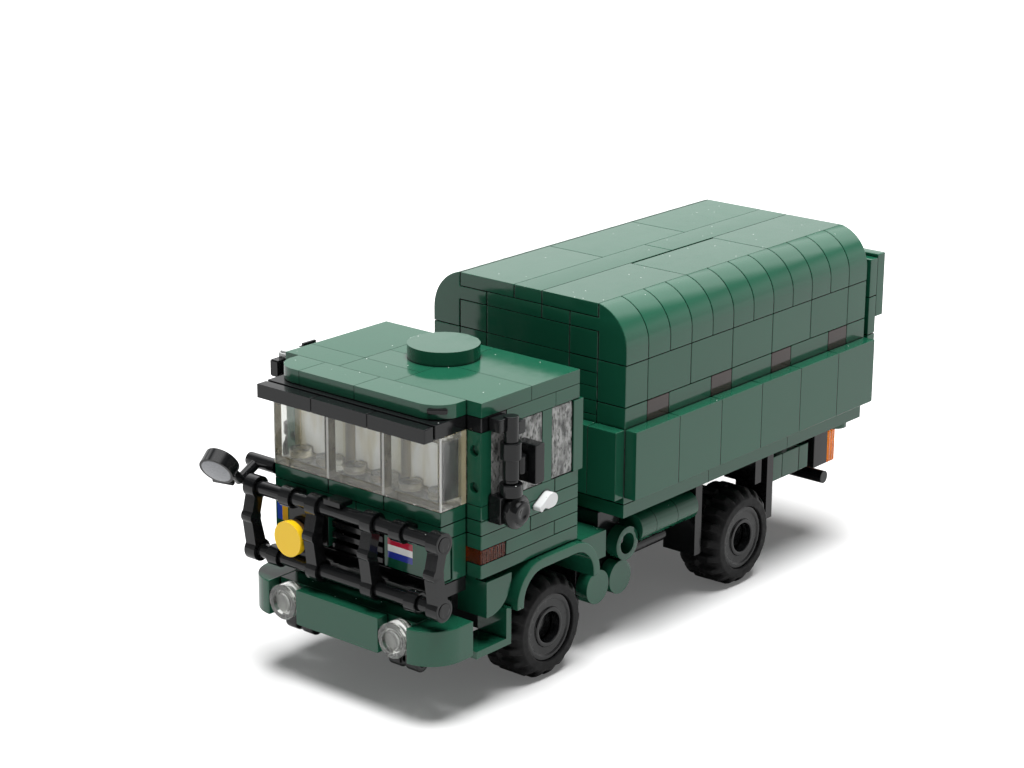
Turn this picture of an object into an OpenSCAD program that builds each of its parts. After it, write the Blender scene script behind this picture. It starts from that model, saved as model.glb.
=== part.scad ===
// Toy covered army truck, built from plastic building bricks, in millimetres.
// x runs forward from the front of the load cover, y to the truck's left and z up from the floor.
// place() then moves the whole truck so that the origin is under the middle of its box.

/* [Brick system] */
// Pitch of the studs, so the length of one stud
stud = 8; // [7.8:0.1:8.2]
// Height of one plate, a third of a brick
plate = 3.2; // [3.1:0.05:3.3]
// Gap between neighbouring bricks
seam = 0.12; // [0.08:0.02:0.2]
// Diameter of a round bar
bar_d = 3.2; // [3:0.1:3.4]

/* [Wheels] */
// Tyre diameter over the lugs
tyre_d = 23.6; // [22:0.2:24]
// Tyre width
tyre_w = 12; // [11:0.5:12.5]
// Height of the lugs
lug_h = 1.1; // [0.8:0.1:1.6]
// Lugs in each of a tyre's two rows
lug_count = 18; // [12:1:22]
// Thickness of the rubber from the rim to the lugs' tips
tyre_wall = 4.2; // [3.8:0.1:4.6]
// Diameter of the wheel pins
pin_d = 4.7; // [4.4:0.1:5]
// Clearance around a wheel pin, on the radius
pin_play = 0.05; // [0.03:0.01:0.08]
// Distance of a wheel's outer face from the middle of the truck
wheel_face = 27.3; // [26.8:0.1:27.6]
// Front axle, in studs ahead of the cover
front_axle_stud = 3; // [2.9:0.1:3.1]
// Rear axle, in studs ahead of the cover's front
rear_axle_stud = -6; // [-6.1:0.1:-5.9]

/* [Body] */
// Height of the deck that carries cab and bed
deck_z = 30.2; // [30:0.1:32]
// Length of the bed in studs
bed_studs = 12; // [12:1:12]
// Width of cab and bed in studs
body_studs = 7; // [7:1:7]
// Reach of the rear boards behind the bed
flap_x = 8; // [7.5:0.1:9]

/* [Mirrors] */
// Distance of the side mirrors' edge from the middle
mirror_y = 34; // [33.5:0.1:35]
// Face of the kerb mirror, ahead of the cover
kerb_x = 68; // [66:0.5:70]
// Diameter of the kerb mirror
kerb_d = 8; // [7.6:0.1:8]
// Downward tilt of the kerb mirror's face
kerb_tilt = 34; // [25:1:40]

/* [Hidden] */

$fn = 48;
green = [0.09, 0.27, 0.19];
black = [0.07, 0.07, 0.07];
brown = [0.25, 0.13, 0.09];
clear = [0.85, 0.9, 0.92, 0.45];
orange = [0.95, 0.5, 0.05, 0.8];
yellow = [0.98, 0.8, 0.12];
tan_c = [0.72, 0.6, 0.4];
pale_grey = [0.78, 0.79, 0.8];

half_w = body_studs * stud / 2;
bed_l = bed_studs * stud;
tile_side = 2 * stud;
wall_in = half_w - stud;
axle_z = tyre_d / 2;
rim_d = tyre_d - 2 * tyre_wall;
wheel_gap = 1.4;
arch_reach = tyre_d / 2 + 2.2;
front_axle_x = front_axle_stud * stud;
rear_axle_x = rear_axle_stud * stud;
pin_r = pin_d / 2;
bore_r = pin_r + pin_play;
pin_head_r = pin_r + 0.8;
hub_r = 4;
hub_wall = 0.5;
wheel_in = wheel_face - tyre_w;
web_in = wheel_in + 0.8;
web_out = wheel_face - 4;
cab_back = 2 * stud;
cab_front_x = 6 * stud;
nose_x = 7 * stud;
nose_half = 3 * stud;
tube_x = nose_x + 3.4;
clip_r = bar_d / 2 + 0.9;
clip_play = 0.05;
bumper_h = stud;
bumper_z = deck_z - 5.1 * plate;
bumper_x = nose_x + 2 * plate;
bumper_depth = 1.5 * stud;
bumper_back = bumper_x - bumper_depth;
guard_t = 2.6;
front_guard_x = rear_axle_x + tyre_d / 2 + wheel_gap;
back_guard_x = rear_axle_x - tyre_d / 2 - wheel_gap - guard_t;
kerb_yaw = 14;
kerb_axis_x = cos(kerb_tilt) * cos(kerb_yaw);
kerb_axis_y = cos(kerb_tilt) * sin(kerb_yaw);
kerb_y = -mirror_y + plate * kerb_axis_y + kerb_d / 2 * sqrt(1 - kerb_axis_y * kerb_axis_y);
x_front = kerb_x + kerb_d / 2 * sqrt(1 - kerb_axis_x * kerb_axis_x);
x_rear = -bed_l - flap_x;

function row(n) = deck_z + n * plate;

module place() {
    translate([-(x_front + x_rear) / 2, 0, 0]) children();
}

module both_sides() {
    children();
    mirror([0, 1, 0]) children();
}

// A box between two corners, drawn in by half a seam on every side.
module piece(low, high) {
    translate(low + [seam, seam, seam] / 2) cube(high - low - [seam, seam, seam]);
}

// A brick: low corner in studs, underside in plates, size in studs and plates.
module brick(x, y, n, lx, ly, h) {
    piece([x * stud, y * stud, row(n)], [(x + lx) * stud, (y + ly) * stud, row(n + h)]);
}

// One course of bricks along y, from their lengths in studs.
module course_y(x, y, n, lx, h, lengths) {
    for (i = [0 : len(lengths) - 1]) {
        start = i == 0 ? 0 : run(lengths, i - 1);
        brick(x, y + start, n, lx, lengths[i], h);
    }
}

// The sum of a list's first i + 1 entries.
function run(v, i) = i == 0 ? abs(v[0]) : abs(v[i]) + run(v, i - 1);

// A rod between two points.
module rod(from, to, d) {
    v = to - from;
    l = norm(v);
    translate(from)
        rotate([0, acos(v[2] / l), atan2(v[1], v[0])])
            cylinder(d = d, h = l);
}

// A round piece along y, from y0 to y1.
module round_y(x, z, y0, y1, d) {
    translate([x, y1, z]) rotate([90, 0, 0]) cylinder(d = d, h = y1 - y0);
}

// A round piece along x, from x0 to x1.
module round_x(y, z, x0, x1, d) {
    translate([x0, y, z]) rotate([0, 90, 0]) cylinder(d = d, h = x1 - x0);
}

// An outline in x and z, drawn out along y from y0 to y1.
module along_y(y0, y1) {
    translate([0, y1, 0]) rotate([90, 0, 0]) linear_extrude(y1 - y0) children();
}

// A rectangle whose two upper corners are round, cut off level at z0.
module arch_outline(x0, x1, z0, z1, r) {
    intersection() {
        union() {
            translate([x0, z0]) square([x1 - x0, max(z1 - r - z0, 0.01)]);
            translate([x0 + r, z0]) square([x1 - x0 - 2 * r, z1 - z0]);
            translate([x0 + r, z1 - r]) circle(r);
            translate([x1 - r, z1 - r]) circle(r);
        }
        translate([x0, z0]) square([x1 - x0, z1 - z0]);
    }
}

module chassis_spine() {
    // start in studs, length in studs
    beams = [[-11.5, 4.5], [-7, 4], [-3, 4], [1, 5]];
    place() color(black) {
        for (b = beams) brick(b[0], -1, -3, b[1], 2, 3);
        // outriggers that carry the tanks and the discs
        both_sides() for (x = [-3.5, -1.5]) brick(x, 1, -2, 1, 1, 2);
        both_sides() brick(-0.9, 1, -3, 0.95, 1.65, 3);
        both_sides() brick(-0.9, 1, -6, 1.9, 1.65, 3);
    }
}

module axle(x) {
    flange = web_in - 0.15;
    color(black) {
        piece([x - stud / 2, -flange + 2, axle_z - 1.2 * plate], [x + stud / 2, flange - 2, row(-3)]);
        both_sides() {
            round_y(x, axle_z, flange - 2 - seam, flange, pin_d + 2);
            round_y(x, axle_z, flange - 1, web_out + 0.15, pin_d);
            round_y(x, axle_z, web_out + 0.15, web_out + 1.2, 2 * pin_head_r);
        }
    }
}

module front_axle() place() axle(front_axle_x);
module rear_axle() place() axle(rear_axle_x);

// A rim turned about y: barrel, web with the pin's bore, and the round face with its hub.
module rim_shape() {
    r = rim_d / 2;
    wall = 1.2;
    rotate([90, 0, 0])
        translate([0, 0, -wheel_face])
            rotate_extrude($fn = 96) {
                translate([r - wall, 0.5]) square([wall, tyre_w - 1]);
                translate([bore_r, wheel_face - web_out]) square([r - wall / 2 - bore_r, web_out - web_in]);
                translate([hub_r, 0.8]) square([r - hub_r - wall / 2, 1.2]);
                translate([hub_r - hub_wall, 0.4]) square([2 * hub_wall, wheel_face - web_out - 0.2]);
            }
}

// A tyre as a loop of rings round its axis: sloping shoulders and two rows of lugs, one step apart.
module tyre_shape() {
    r_in = rim_d / 2 + 0.05;
    r_out = tyre_d / 2;
    r_base = r_out - lug_h;
    r_side = r_base - 1.1;
    slope = 0.12;
    steps = 2 * lug_count;
    turn = 2 * steps;
    // place along the axle, radius between the lugs, radius on a lug, row of lugs
    rings = [
        [0, r_in, r_in, 0],
        [0, r_side, r_side, 0],
        [0.9, r_base - 0.4, r_base + 0.2, 0],
        [2.2, r_base, r_out, 0],
        [tyre_w / 2 - 0.3, r_base, r_out, 0],
        [tyre_w / 2 + 0.3, r_base, r_out, 1],
        [tyre_w - 2.2, r_base, r_out, 1],
        [tyre_w - 0.9, r_base - 0.4, r_base + 0.2, 1],
        [tyre_w, r_side, r_side, 1],
        [tyre_w, r_in, r_in, 1]
    ];
    points = [
        for (ring = rings, j = [0 : turn - 1])
            let (
                step = floor(j / 2),
                angle = (step + (j % 2 == 0 ? slope : 1 - slope)) * 360 / steps,
                r = (step + ring[3]) % 2 == 0 ? ring[2] : ring[1]
            )
            [r * cos(angle), r * sin(angle), ring[0]]
    ];
    faces = [
        for (i = [0 : len(rings) - 1], j = [0 : turn - 1])
            let (
                here = i * turn,
                next = (i + 1) % len(rings) * turn,
                k = (j + 1) % turn
            )
            each [[here + j, next + j, next + k], [here + j, next + k, here + k]]
    ];
    rotate([90, 0, 0]) translate([0, 0, -wheel_face]) polyhedron(points, faces);
}

module wheel_at(x, left) {
    translate([x, 0, axle_z]) mirror([0, left ? 0 : 1, 0]) children();
}

module rim_fl() place() color(black) wheel_at(front_axle_x, true) rim_shape();
module rim_fr() place() color(black) wheel_at(front_axle_x, false) rim_shape();
module rim_rl() place() color(black) wheel_at(rear_axle_x, true) rim_shape();
module rim_rr() place() color(black) wheel_at(rear_axle_x, false) rim_shape();
module tyre_fl() place() color(black) wheel_at(front_axle_x, true) tyre_shape();
module tyre_fr() place() color(black) wheel_at(front_axle_x, false) tyre_shape();
module tyre_rl() place() color(black) wheel_at(rear_axle_x, true) tyre_shape();
module tyre_rr() place() color(black) wheel_at(rear_axle_x, false) tyre_shape();

module cab_floor() {
    place() color(green) brick(2, -2.5, 0, 4, 5, 1);
}

// The pale bricks along the cab's rear wall, seen through the windshield.
module cab_lining() {
    place() color(pale_grey) course_y(3, -2.5, 1, 0.4, 9, [2, 1, 2]);
}

module cab_seats() {
    place() color(tan_c) both_sides() {
        brick(3.45, 0.5, 1, 1.5, 1.5, 3);
        brick(3.45, 0.5, 4, 0.5, 1.5, 4);
    }
}

module cab_rear_wall() {
    // underside in plates, height in plates, lengths in studs
    courses = [[1, 3, [2, 1, 2]], [4, 3, [1, 3, 1]], [7, 3, [2, 1, 2]], [10, 1, [5]]];
    place() color(green)
        for (c = courses) course_y(2, -2.5, c[0], 1, c[1], c[2]);
}

module cab_sides() {
    // row in plates, start in studs, length in studs
    plates = [
        [0, 2, 4],
        [1, 2, 1], [1, 3, 2],
        [2, 2, 2], [2, 4, 2],
        [3, 2, 4],
        [4, 2, 1], [4, 3, 3]
    ];
    place() color(green) both_sides()
        for (p = plates) brick(p[1], 2.5, p[0], p[2], 1, 1);
}

module cab_front() {
    place() color(green) {
        // sill under the windshield, in two courses
        course_y(6, -3, 4, 1, 1, [2, 2, 2]);
        course_y(6, -3, 3, 1, 1, [3, 3]);
        // bricks behind the front tiles, and the plate under them
        both_sides() brick(6, 1, 0, 0.55, 2, 3);
        both_sides() piece([cab_front_x, nose_half - plate, row(0)], [nose_x, nose_half, row(0.15)]);
    }
}

module cab_window_frames() {
    place() color(green) both_sides() {
        // lintel
        brick(2, 2.5, 10, 1, 1, 1);
        brick(3, 2.5, 10, 2, 1, 1);
        // tile on edge at the back, post in the middle, pillar at the front
        piece([cab_back - 0.8, wall_in, row(5)], [cab_back + plate - 0.8, half_w + 0.4, row(10)]);
        piece([3 * stud + 1.2, wall_in, row(5)], [3 * stud + 1.2 + plate, half_w, row(10)]);
        difference() {
            piece([cab_front_x - plate, nose_half, row(5)], [cab_front_x, half_w, row(10)]);
            for (n = [6.2, 8.7]) round_x(nose_half + 2, row(n), cab_front_x - 1.2, cab_front_x + 1, 2.4);
        }
    }
}

module side_windows() {
    rear = [cab_back + plate - 0.8, 3 * stud + 1.2];
    front = [3 * stud + 1.2 + plate, cab_front_x - plate];
    place() color(clear) both_sides()
        for (w = [rear, front])
            difference() {
                piece([w[0], wall_in + 0.4, row(5)], [w[1], half_w, row(10)]);
                piece([w[0] + 1.5, wall_in - 1, row(5) + 1.5], [w[1] - 1.5, half_w - 1.5, row(10) - 1.5]);
            }
}

module windshield() {
    wall = 1.5;
    stud_d = 4.8;
    stud_h = 1.7;
    place() color(clear)
        for (i = [-1.5, -0.5, 0.5]) {
            difference() {
                brick(6, i * 2, 5, 1, 2, 5);
                piece([cab_front_x - 1, i * tile_side + wall, row(5) + wall],
                      [nose_x - wall, (i + 1) * tile_side - wall, row(10) - wall]);
            }
            // two studs on each panel's foot
            for (j = [0.5, 1.5])
                translate([cab_front_x + (stud - wall) / 2, (2 * i + j) * stud, row(5) + wall / 2])
                    cylinder(d = stud_d, h = wall / 2 + stud_h);
        }
}

module cab_roof() {
    // start and length in studs, then low side and width in studs
    tiles = [
        [2, 2, 0.5, 3], [2, 2, -1.5, 2], [2, 3, -3.5, 2],
        [4, 2, 0.5, 3], [4, 1, -1.5, 2], [5, 1, -3.5, 2], [5, 1, -1.5, 2]
    ];
    corner_r = 6;
    edge = seam / 2;
    place() color(green) {
        for (t = tiles) brick(t[0], t[2], 11, t[1], t[3], 1);
        brick(3, -2.5, 10, 2.9, 5, 1);
        // rounded front, in three lengths
        for (span = [[-3, -2], [-2, 0], [0, 3]])
            intersection() {
                translate([0, 0, row(11) + edge]) linear_extrude(plate - seam) {
                    translate([cab_front_x + edge, -nose_half]) square([stud - corner_r - edge, 2 * nose_half]);
                    translate([cab_front_x, corner_r - nose_half]) square([stud, 2 * (nose_half - corner_r)]);
                    for (s = [-1, 1]) translate([nose_x - corner_r, s * (nose_half - corner_r)]) circle(corner_r);
                }
                piece([cab_front_x, span[0] * stud, row(10)], [nose_x + 1, span[1] * stud, row(13)]);
            }
    }
}

module roof_hatch() {
    place() color(green)
        translate([3.5 * stud, 0, row(12)]) cylinder(d = tile_side - seam, h = plate - seam, $fn = 96);
}

module visor() {
    place() color(black) {
        // tiles on edge in front of a plate, with the pegs that hold them
        for (y = [-3, -1, 1]) {
            piece([7.25 * stud, y * stud, row(9.95)], [7.6 * stud, (y + 2) * stud, row(10.95)]);
            piece([7 * stud, (y + 0.7) * stud, row(10.2)], [7.3 * stud, (y + 1.3) * stud, row(10.7)]);
        }
        course_y(6, -3, 10, 1.2, 1, [6]);
        // hinge plates over the front windows
        both_sides() brick(5, 2.5, 10, 1, 1, 1);
    }
}

module grille() {
    bars = 4;
    pitch = 3 * plate / bars;
    place() color(black) {
        brick(6, -1, 0, 0.7, 2, 3);
        for (i = [0 : bars - 1])
            translate([cab_front_x + 0.7 * stud, -stud + 0.6, row(0) + i * pitch + 0.5])
                cube([0.3 * stud - 0.4, 2 * stud - 1.2, pitch * 0.55]);
        // the black bricks between the nose and the bumper
        brick(6, -3, -1, 0.9, 6, 1);
        brick(6, -2.5, -2.5, 0.75, 5, 1.5);
    }
}

module front_tiles() {
    place() color(green) both_sides()
        piece([nose_x - plate, stud, row(0.15)], [nose_x, 3 * stud, row(0.15) + stud]);
}

sign_y = -1.74 * stud;
sign_z = row(0.85);
sign_x = tube_x + 0.1;
top_tube_z = row(3.45);
low_tube_z = row(-1.05);
tube_half = half_w;

module bull_bar_tubes() {
    place() color(black)
        for (z = [top_tube_z, low_tube_z]) round_y(tube_x, z, -tube_half, tube_half, bar_d);
}

// One arm of the bull bar: a clip on each tube and a shank that bends forward between them.
module bar_arm(y, w) {
    knee_x = tube_x + 1.6;
    knee_z = (top_tube_z + low_tube_z) / 2 + 0.8;
    upper = 2.6;
    lower = 3.4;
    difference() {
        along_y(y - w / 2, y + w / 2) {
            for (z = [top_tube_z, low_tube_z]) translate([tube_x, z]) circle(clip_r);
            translate([knee_x, knee_z]) circle(1.6);
            polygon([
                [tube_x - upper / 2, top_tube_z], [knee_x - upper / 2, knee_z], [tube_x - lower / 2, low_tube_z],
                [tube_x + lower / 2, low_tube_z], [knee_x + upper / 2, knee_z], [tube_x + upper / 2, top_tube_z]
            ]);
        }
        for (z = [top_tube_z, low_tube_z])
            round_y(tube_x, z, y - w, y + w, bar_d + 2 * clip_play);
    }
}

// A clip that holds a tube to the nose.
module bar_clip(y, z) {
    w = 3;
    difference() {
        union() {
            round_y(tube_x, z, y - w / 2, y + w / 2, 2 * clip_r - 0.4);
            translate([nose_x + 0.1, y - w / 2, z - 1]) cube([tube_x - nose_x, w, 2]);
        }
        round_y(tube_x, z, y - w, y + w, bar_d + 2 * clip_play);
    }
}

module bull_bar_arms() {
    place() color(black) {
        for (y = [-half_w + 1.6, -stud, stud, half_w - 1.6]) bar_arm(y, 3);
        both_sides() bar_clip(2 * stud, top_tube_z);
        both_sides() bar_clip(2.5 * stud, low_tube_z);
        // a flat clip on the top tube, and the plate that hangs from it and holds the sign
        piece([tube_x - 2.2, -0.55 * stud, top_tube_z + bar_d / 2], [tube_x + 1.8, 0.05 * stud, top_tube_z + bar_d / 2 + 1.2]);
        piece([tube_x - 1.8, sign_y - 2.5, sign_z - 2], [tube_x, sign_y + 2.5, top_tube_z - bar_d / 2]);
    }
}

module sign_mount() place() color(tan_c) round_x(sign_y, sign_z, sign_x, sign_x + 1.3, stud - 0.6);
module sign_disc() place() color(yellow) round_x(sign_y, sign_z, sign_x + 1.4, sign_x + 3, stud - seam);

module bumper() {
    end_in = 2.5 * stud;
    tile_half = 1.5 * stud;
    place() color(green) {
        // middle tile and the beam behind it
        piece([bumper_x - plate, -tile_half, bumper_z], [bumper_x, tile_half, bumper_z + bumper_h]);
        piece([bumper_back, -end_in, bumper_z + 0.4], [bumper_x - plate - 0.2, end_in, bumper_z + bumper_h]);
        // round ends
        both_sides()
            translate([0, 0, bumper_z + seam / 2])
                linear_extrude(bumper_h - seam) {
                    r = half_w - end_in;
                    translate([bumper_back, end_in]) square([bumper_depth - r, r]);
                    intersection() {
                        translate([bumper_x - r, end_in]) circle(r);
                        translate([bumper_x - r - 0.01, end_in]) square(r + 0.01);
                    }
                }
    }
}

module headlights() {
    z = bumper_z + bumper_h / 2;
    place() color(clear) both_sides()
        difference() {
            round_x(2 * stud, z, bumper_x - plate, bumper_x, stud - 2 * seam);
            round_x(2 * stud, z, bumper_x - 1, bumper_x + 1, stud - 2.4);
        }
}

module tow_hooks() {
    place() color(black) both_sides() for (y = [1.6, 2.2])
        difference() {
            along_y(y * stud - 1.6, y * stud + 1.6) {
                translate([bumper_x - 6, bumper_z - 2.1]) circle(2);
                translate([bumper_x - 8, bumper_z - 2.1]) square([4, 2]);
            }
            round_y(bumper_x - 6, bumper_z - 2.1, 0, half_w, 1.6);
        }
}

module front_fenders() {
    thick = 2.2;
    foot_z = row(-3);
    top_z = row(0) - 0.15;
    place() color(green) both_sides()
        along_y(wheel_in + 3, half_w + 1.6)
            difference() {
                arch_outline(front_axle_x - arch_reach, front_axle_x + arch_reach, foot_z, top_z, 8.5);
                arch_outline(front_axle_x - arch_reach + thick, front_axle_x + arch_reach - thick,
                             foot_z - 1, top_z - thick, 8.5 - thick);
            }
}

module cab_steps() {
    tile_h = stud;
    top_z = row(-0.35);
    leg = 1.6;
    corner_r = 7.2;
    x0 = front_axle_x + arch_reach + 0.2;
    low_z = top_z - tile_h;
    step_z = bumper_z - 1;
    place() color(green) both_sides() {
        // tile ahead of the wheel, with one round corner
        along_y(half_w - plate, half_w) {
            translate([x0, low_z + corner_r]) square([stud, tile_h - corner_r]);
            translate([x0 + corner_r, low_z]) square([stud - corner_r, tile_h]);
            intersection() {
                translate([x0 + corner_r, low_z + corner_r]) circle(corner_r);
                translate([x0, low_z]) square(corner_r + 0.01);
            }
        }
        // brick behind it, and the L-shaped step under both
        translate([x0, half_w - stud, low_z]) cube([stud, stud - plate + 0.1, row(0) - low_z]);
        along_y(half_w - stud, half_w) {
            translate([x0, step_z]) square([leg, low_z + 0.2 - step_z]);
            translate([x0, step_z]) square([bumper_back - 1 - x0, leg]);
        }
    }
}

module indicators() {
    place() color(orange) both_sides() brick(5, 2.5, 1, 1, 1, 1);
}

module side_mirrors() {
    col_x = 5.3 * stud;
    col_y = half_w + 3.2;
    place() color(black) both_sides() {
        // upright column: low and high row in plates, diameter
        for (c = [[9.2, 11, bar_d], [8.1, 9.25, 4.6], [6.7, 8.15, 3.6], [6.4, 6.75, bar_d], [5.6, 6.45, 4.9]])
            translate([col_x, col_y, row(c[0])]) cylinder(d = c[2], h = (c[1] - c[0]) * plate);
        // hinge leaf that holds the column to the cab, and the clip behind it
        piece([col_x - 1.2, half_w, row(10)], [col_x + 3.4, col_y, row(10.9)]);
        piece([col_x - 3.2, col_y - 1.2, row(9.7)], [col_x - 1, col_y + 1.2, row(10.6)]);
        // mirror plate and the bar that holds it
        piece([col_x - 7.6, half_w + 0.3, row(6.1)], [col_x - 4.6, mirror_y, row(8.8)]);
        translate([col_x - 3, col_y - 0.4, row(6.9)]) cylinder(d = bar_d, h = 1.2 * plate);
        piece([col_x - 4.7, col_y - 1, row(7)], [col_x - 3, col_y + 0.4, row(8)]);
        // block under the column, and the round piece beside it with its stud
        piece([col_x - 1.6, half_w, row(3.8)], [col_x + 5, col_y + 2.4, row(5.65)]);
        round_y(col_x - 3.2, row(4.6), half_w, half_w + 3.4, stud - 0.5);
        round_y(col_x - 3.2, row(4.6), half_w + 3.3, half_w + 5.4, 4.8);
    }
}

module kerb_mirror() {
    base = [nose_x - 1, -half_w - 2, row(4.6)];
    elbow = [kerb_x - 7.4, -half_w - 2, row(3.7)];
    face = [kerb_x, kerb_y, row(4.97)];
    place() color(black) {
        round_y(base[0], base[2], -half_w - 4.4, -nose_half - 0.1, bar_d);
        rod(base, elbow, 2.4);
        rod(elbow, face - [2.6, 0, -1.2], 2.2);
        translate(face) rotate([0, 90 + kerb_tilt, kerb_yaw]) translate([0, 0, -plate]) cylinder(d = kerb_d, h = plate);
    }
}

module door_handles() {
    x = 3.42 * stud;
    z = row(3.75);
    place() color(pale_grey) both_sides()
        along_y(half_w, half_w + 2)
            difference() {
                hull() {
                    translate([x - 0.4, z + 0.2]) circle(2.1);
                    translate([x + 3.8, z - 1.2]) circle(0.9);
                }
                translate([x + 2.4, z - 2.7]) circle(1.3);
            }
}

module bed_floor() {
    plates = 3;
    length = bed_studs / plates;
    place() color(green) {
        for (i = [1 : plates]) brick(-i * length, -body_studs / 2, 0, length, body_studs, 1);
        // round foot under each rear corner
        both_sides() translate([-11.5 * stud, 2.9 * stud, row(-0.7)]) cylinder(d = 5.8, h = plate);
    }
}

board_low = 1.5;
board_high = 6.5;

module side_board() {
    for (i = [1 : bed_studs / 2])
        piece([-i * tile_side, half_w, row(board_low)], [(1 - i) * tile_side, half_w + plate, row(board_high)]);
}

module side_board_left() place() color(green) side_board();
module side_board_right() place() color(green) mirror([0, 1, 0]) side_board();

// A row of tiles across the truck, from x0 to x1.
module board_across(x0, x1, low, high) {
    widths = [2, 2, 2, 1];
    for (i = [0 : 3]) {
        y = (i == 0 ? 0 : run(widths, i - 1)) * stud - half_w;
        piece([x0, y, row(low)], [x1, y + widths[i] * stud, row(high)]);
    }
}

module front_board() place() color(green) board_across(0, plate, board_low, board_high);

module tailgate() {
    place() color(green) {
        board_across(-bed_l - plate / 2 - plate, -bed_l - plate / 2, board_low, board_high);
        piece([-bed_l - plate / 2, -half_w, row(board_low)], [-bed_l, half_w, row(board_high - 1)]);
    }
}

module rear_flap() {
    low = 7.75;
    high = 12.75;
    panel_x = x_rear + plate;
    place() color(green) {
        board_across(x_rear, panel_x, low, high);
        // two plates on edge, down to the tailgate, and the block that holds them off the cover
        for (n = [[board_high, 9.5], [9.5, high - 0.25]])
            piece([panel_x, -half_w, row(n[0])], [panel_x + plate, half_w, row(n[1])]);
        piece([panel_x + plate, -1.5 * stud, row(low)], [-bed_l, 1.5 * stud, row(high - 1)]);
    }
}

// The row of mixed bricks: lengths in studs from the front, brown where negative.
mixed = [1, -1, 2, -1, 2, -1, 2, -1, 1];

module mixed_bricks(sign) {
    for (i = [0 : len(mixed) - 1])
        if (mixed[i] * sign > 0) brick(-run(mixed, i), 2.5, 5, abs(mixed[i]), 1, 3);
}

module cover_walls() {
    // underside in plates, height in plates, lengths in studs from the front
    courses = [[1, 4, [2, 2, 2, 2, 2, 2]], [8, 3, [1, 2, 2, 2, 2, 2, 1]]];
    place() color(green) both_sides() {
        for (c = courses, i = [0 : len(c[2]) - 1])
            brick(-run(c[2], i), 2.5, c[0], c[2][i], 1, c[1]);
        mixed_bricks(1);
    }
}

module cover_brown_bricks() place() color(brown) both_sides() mixed_bricks(-1);

// The curved bricks at the top edge: a leg with a round shoulder and a shelf for the roof tiles.
module shoulder() {
    drop = 3 * plate;
    top = row(15);
    arc_r = (drop * drop + stud * stud) / (2 * stud);
    for (i = [1 : bed_studs])
        translate([-i * stud + seam / 2, 0, 0])
            rotate([90, 0, 90])
                linear_extrude(stud - seam) {
                    translate([wall_in + seam, row(11) + seam / 2]) square([stud - seam, plate]);
                    intersection() {
                        translate([wall_in + seam, row(11) + seam]) square([stud - seam, 4 * plate - seam]);
                        translate([half_w - arc_r, top - drop]) circle(arc_r, $fn = 96);
                    }
                    translate([wall_in + seam, row(12) - 0.1]) square([2, 2 * plate + 0.1]);
                    translate([wall_in - stud + seam, row(13) + seam / 2]) square([stud + 1, plate - seam]);
                }
}

module cover_shoulder_left() place() color(green) shoulder();
module cover_shoulder_right() place() color(green) mirror([0, 1, 0]) shoulder();

module cover_roof() {
    // low side and width in studs, then lengths in studs from the front
    strips = [[-2.5, 2, [4, 4, 4]], [-0.5, 1, [6, 6]], [0.5, 2, [4, 4, 4]]];
    place() color(green)
        for (s = strips, i = [0 : len(s[2]) - 1]) {
            // the middle tile on the left stands a little off its neighbour
            slack = s[0] > 0 && i == 1 ? 0.07 : 0;
            brick(-run(s[2], i), s[0] + slack, 14, s[2][i], s[1] - slack, 1);
        }
}

module end_wall(x) {
    // underside in plates, height in plates, low side in studs, lengths in studs
    courses = [
        [1, 3, -2.5, [2, 1, 2]], [4, 3, -2.5, [1, 3, 1]], [7, 1, -2.5, [2, 3]], [8, 1, -2.5, [1, 2, 2]],
        [9, 1, -2.5, [2, 1, 2]], [10, 1, -2.5, [1, 3, 1]], [11, 2, -2.5, [1, 3, 1]], [13, 1, -1.5, [2, 1]]
    ];
    for (c = courses) course_y(x, c[2], c[0], 1, c[1], c[3]);
}

module cover_front_wall() place() color(green) end_wall(-1);
module cover_rear_wall() place() color(green) end_wall(-bed_studs);

tank_y = 2.75 * stud;
tank_z = row(-2.05);
tank_d = 7;

module side_tanks() {
    // back and front end of each length
    lengths = [[-2 * stud, -1.32 * stud], [-3 * stud, -2 * stud], [front_guard_x + guard_t + 0.3, -3 * stud]];
    place() color(green) both_sides()
        for (e = lengths) round_x(tank_y, tank_z, e[0] + seam / 2, e[1] - seam / 2, tank_d);
}

module side_discs() {
    face = 3.05 * stud;
    thick = plate - seam;
    place() color(green) both_sides() {
        difference() {
            round_y(-0.8 * stud, row(-2.65), face - thick, face, stud - seam);
            round_y(-0.8 * stud, row(-2.65), face - stud, face + 1, 4.9);
        }
        for (x = [-0.5, 0.52]) round_y(x * stud, row(-4.95), face - thick, face, stud - seam);
        // block behind the cab
        piece([0.1 * stud, 1.4 * stud, row(-3)], [front_axle_x - arch_reach - 0.4, 3 * stud, row(-1)]);
    }
}

module mud_flaps() {
    over_x = rear_axle_x - 1.35 * stud;
    over_z = axle_z + sqrt(pow(tyre_d / 2 + wheel_gap, 2) - pow(rear_axle_x - over_x - guard_t, 2));
    // back face and lower edge
    flaps = [[front_guard_x, row(-6)], [over_x, over_z], [back_guard_x, row(-5.7)]];
    place() color(black) both_sides() {
        for (f = flaps)
            piece([f[0], 1.9 * stud, f[1]], [f[0] + guard_t, 3.05 * stud, row(0)]);
        // rod under the tank
        round_x(2.42 * stud, row(-4), -3.2 * stud, -0.93 * stud, bar_d);
    }
}

module tool_boxes() {
    front = back_guard_x - 0.4;
    // lengths in studs from the front
    boxes = [0.5, 0.9, 0.5];
    place() color(green) both_sides()
        for (i = [0 : len(boxes) - 1])
            piece([front - run(boxes, i) * stud, 2 * stud, row(-3)],
                  [front - (run(boxes, i) - boxes[i]) * stud, 3 * stud, row(-1)]);
}

module tail_lamps() place() color(orange) both_sides() brick(-11.4, 2, -3.4, 0.4, 1, 2.6);
module lamp_housings() place() color(black) both_sides() brick(-11, 2, -3.4, 0.75, 1, 3.2);

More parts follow.
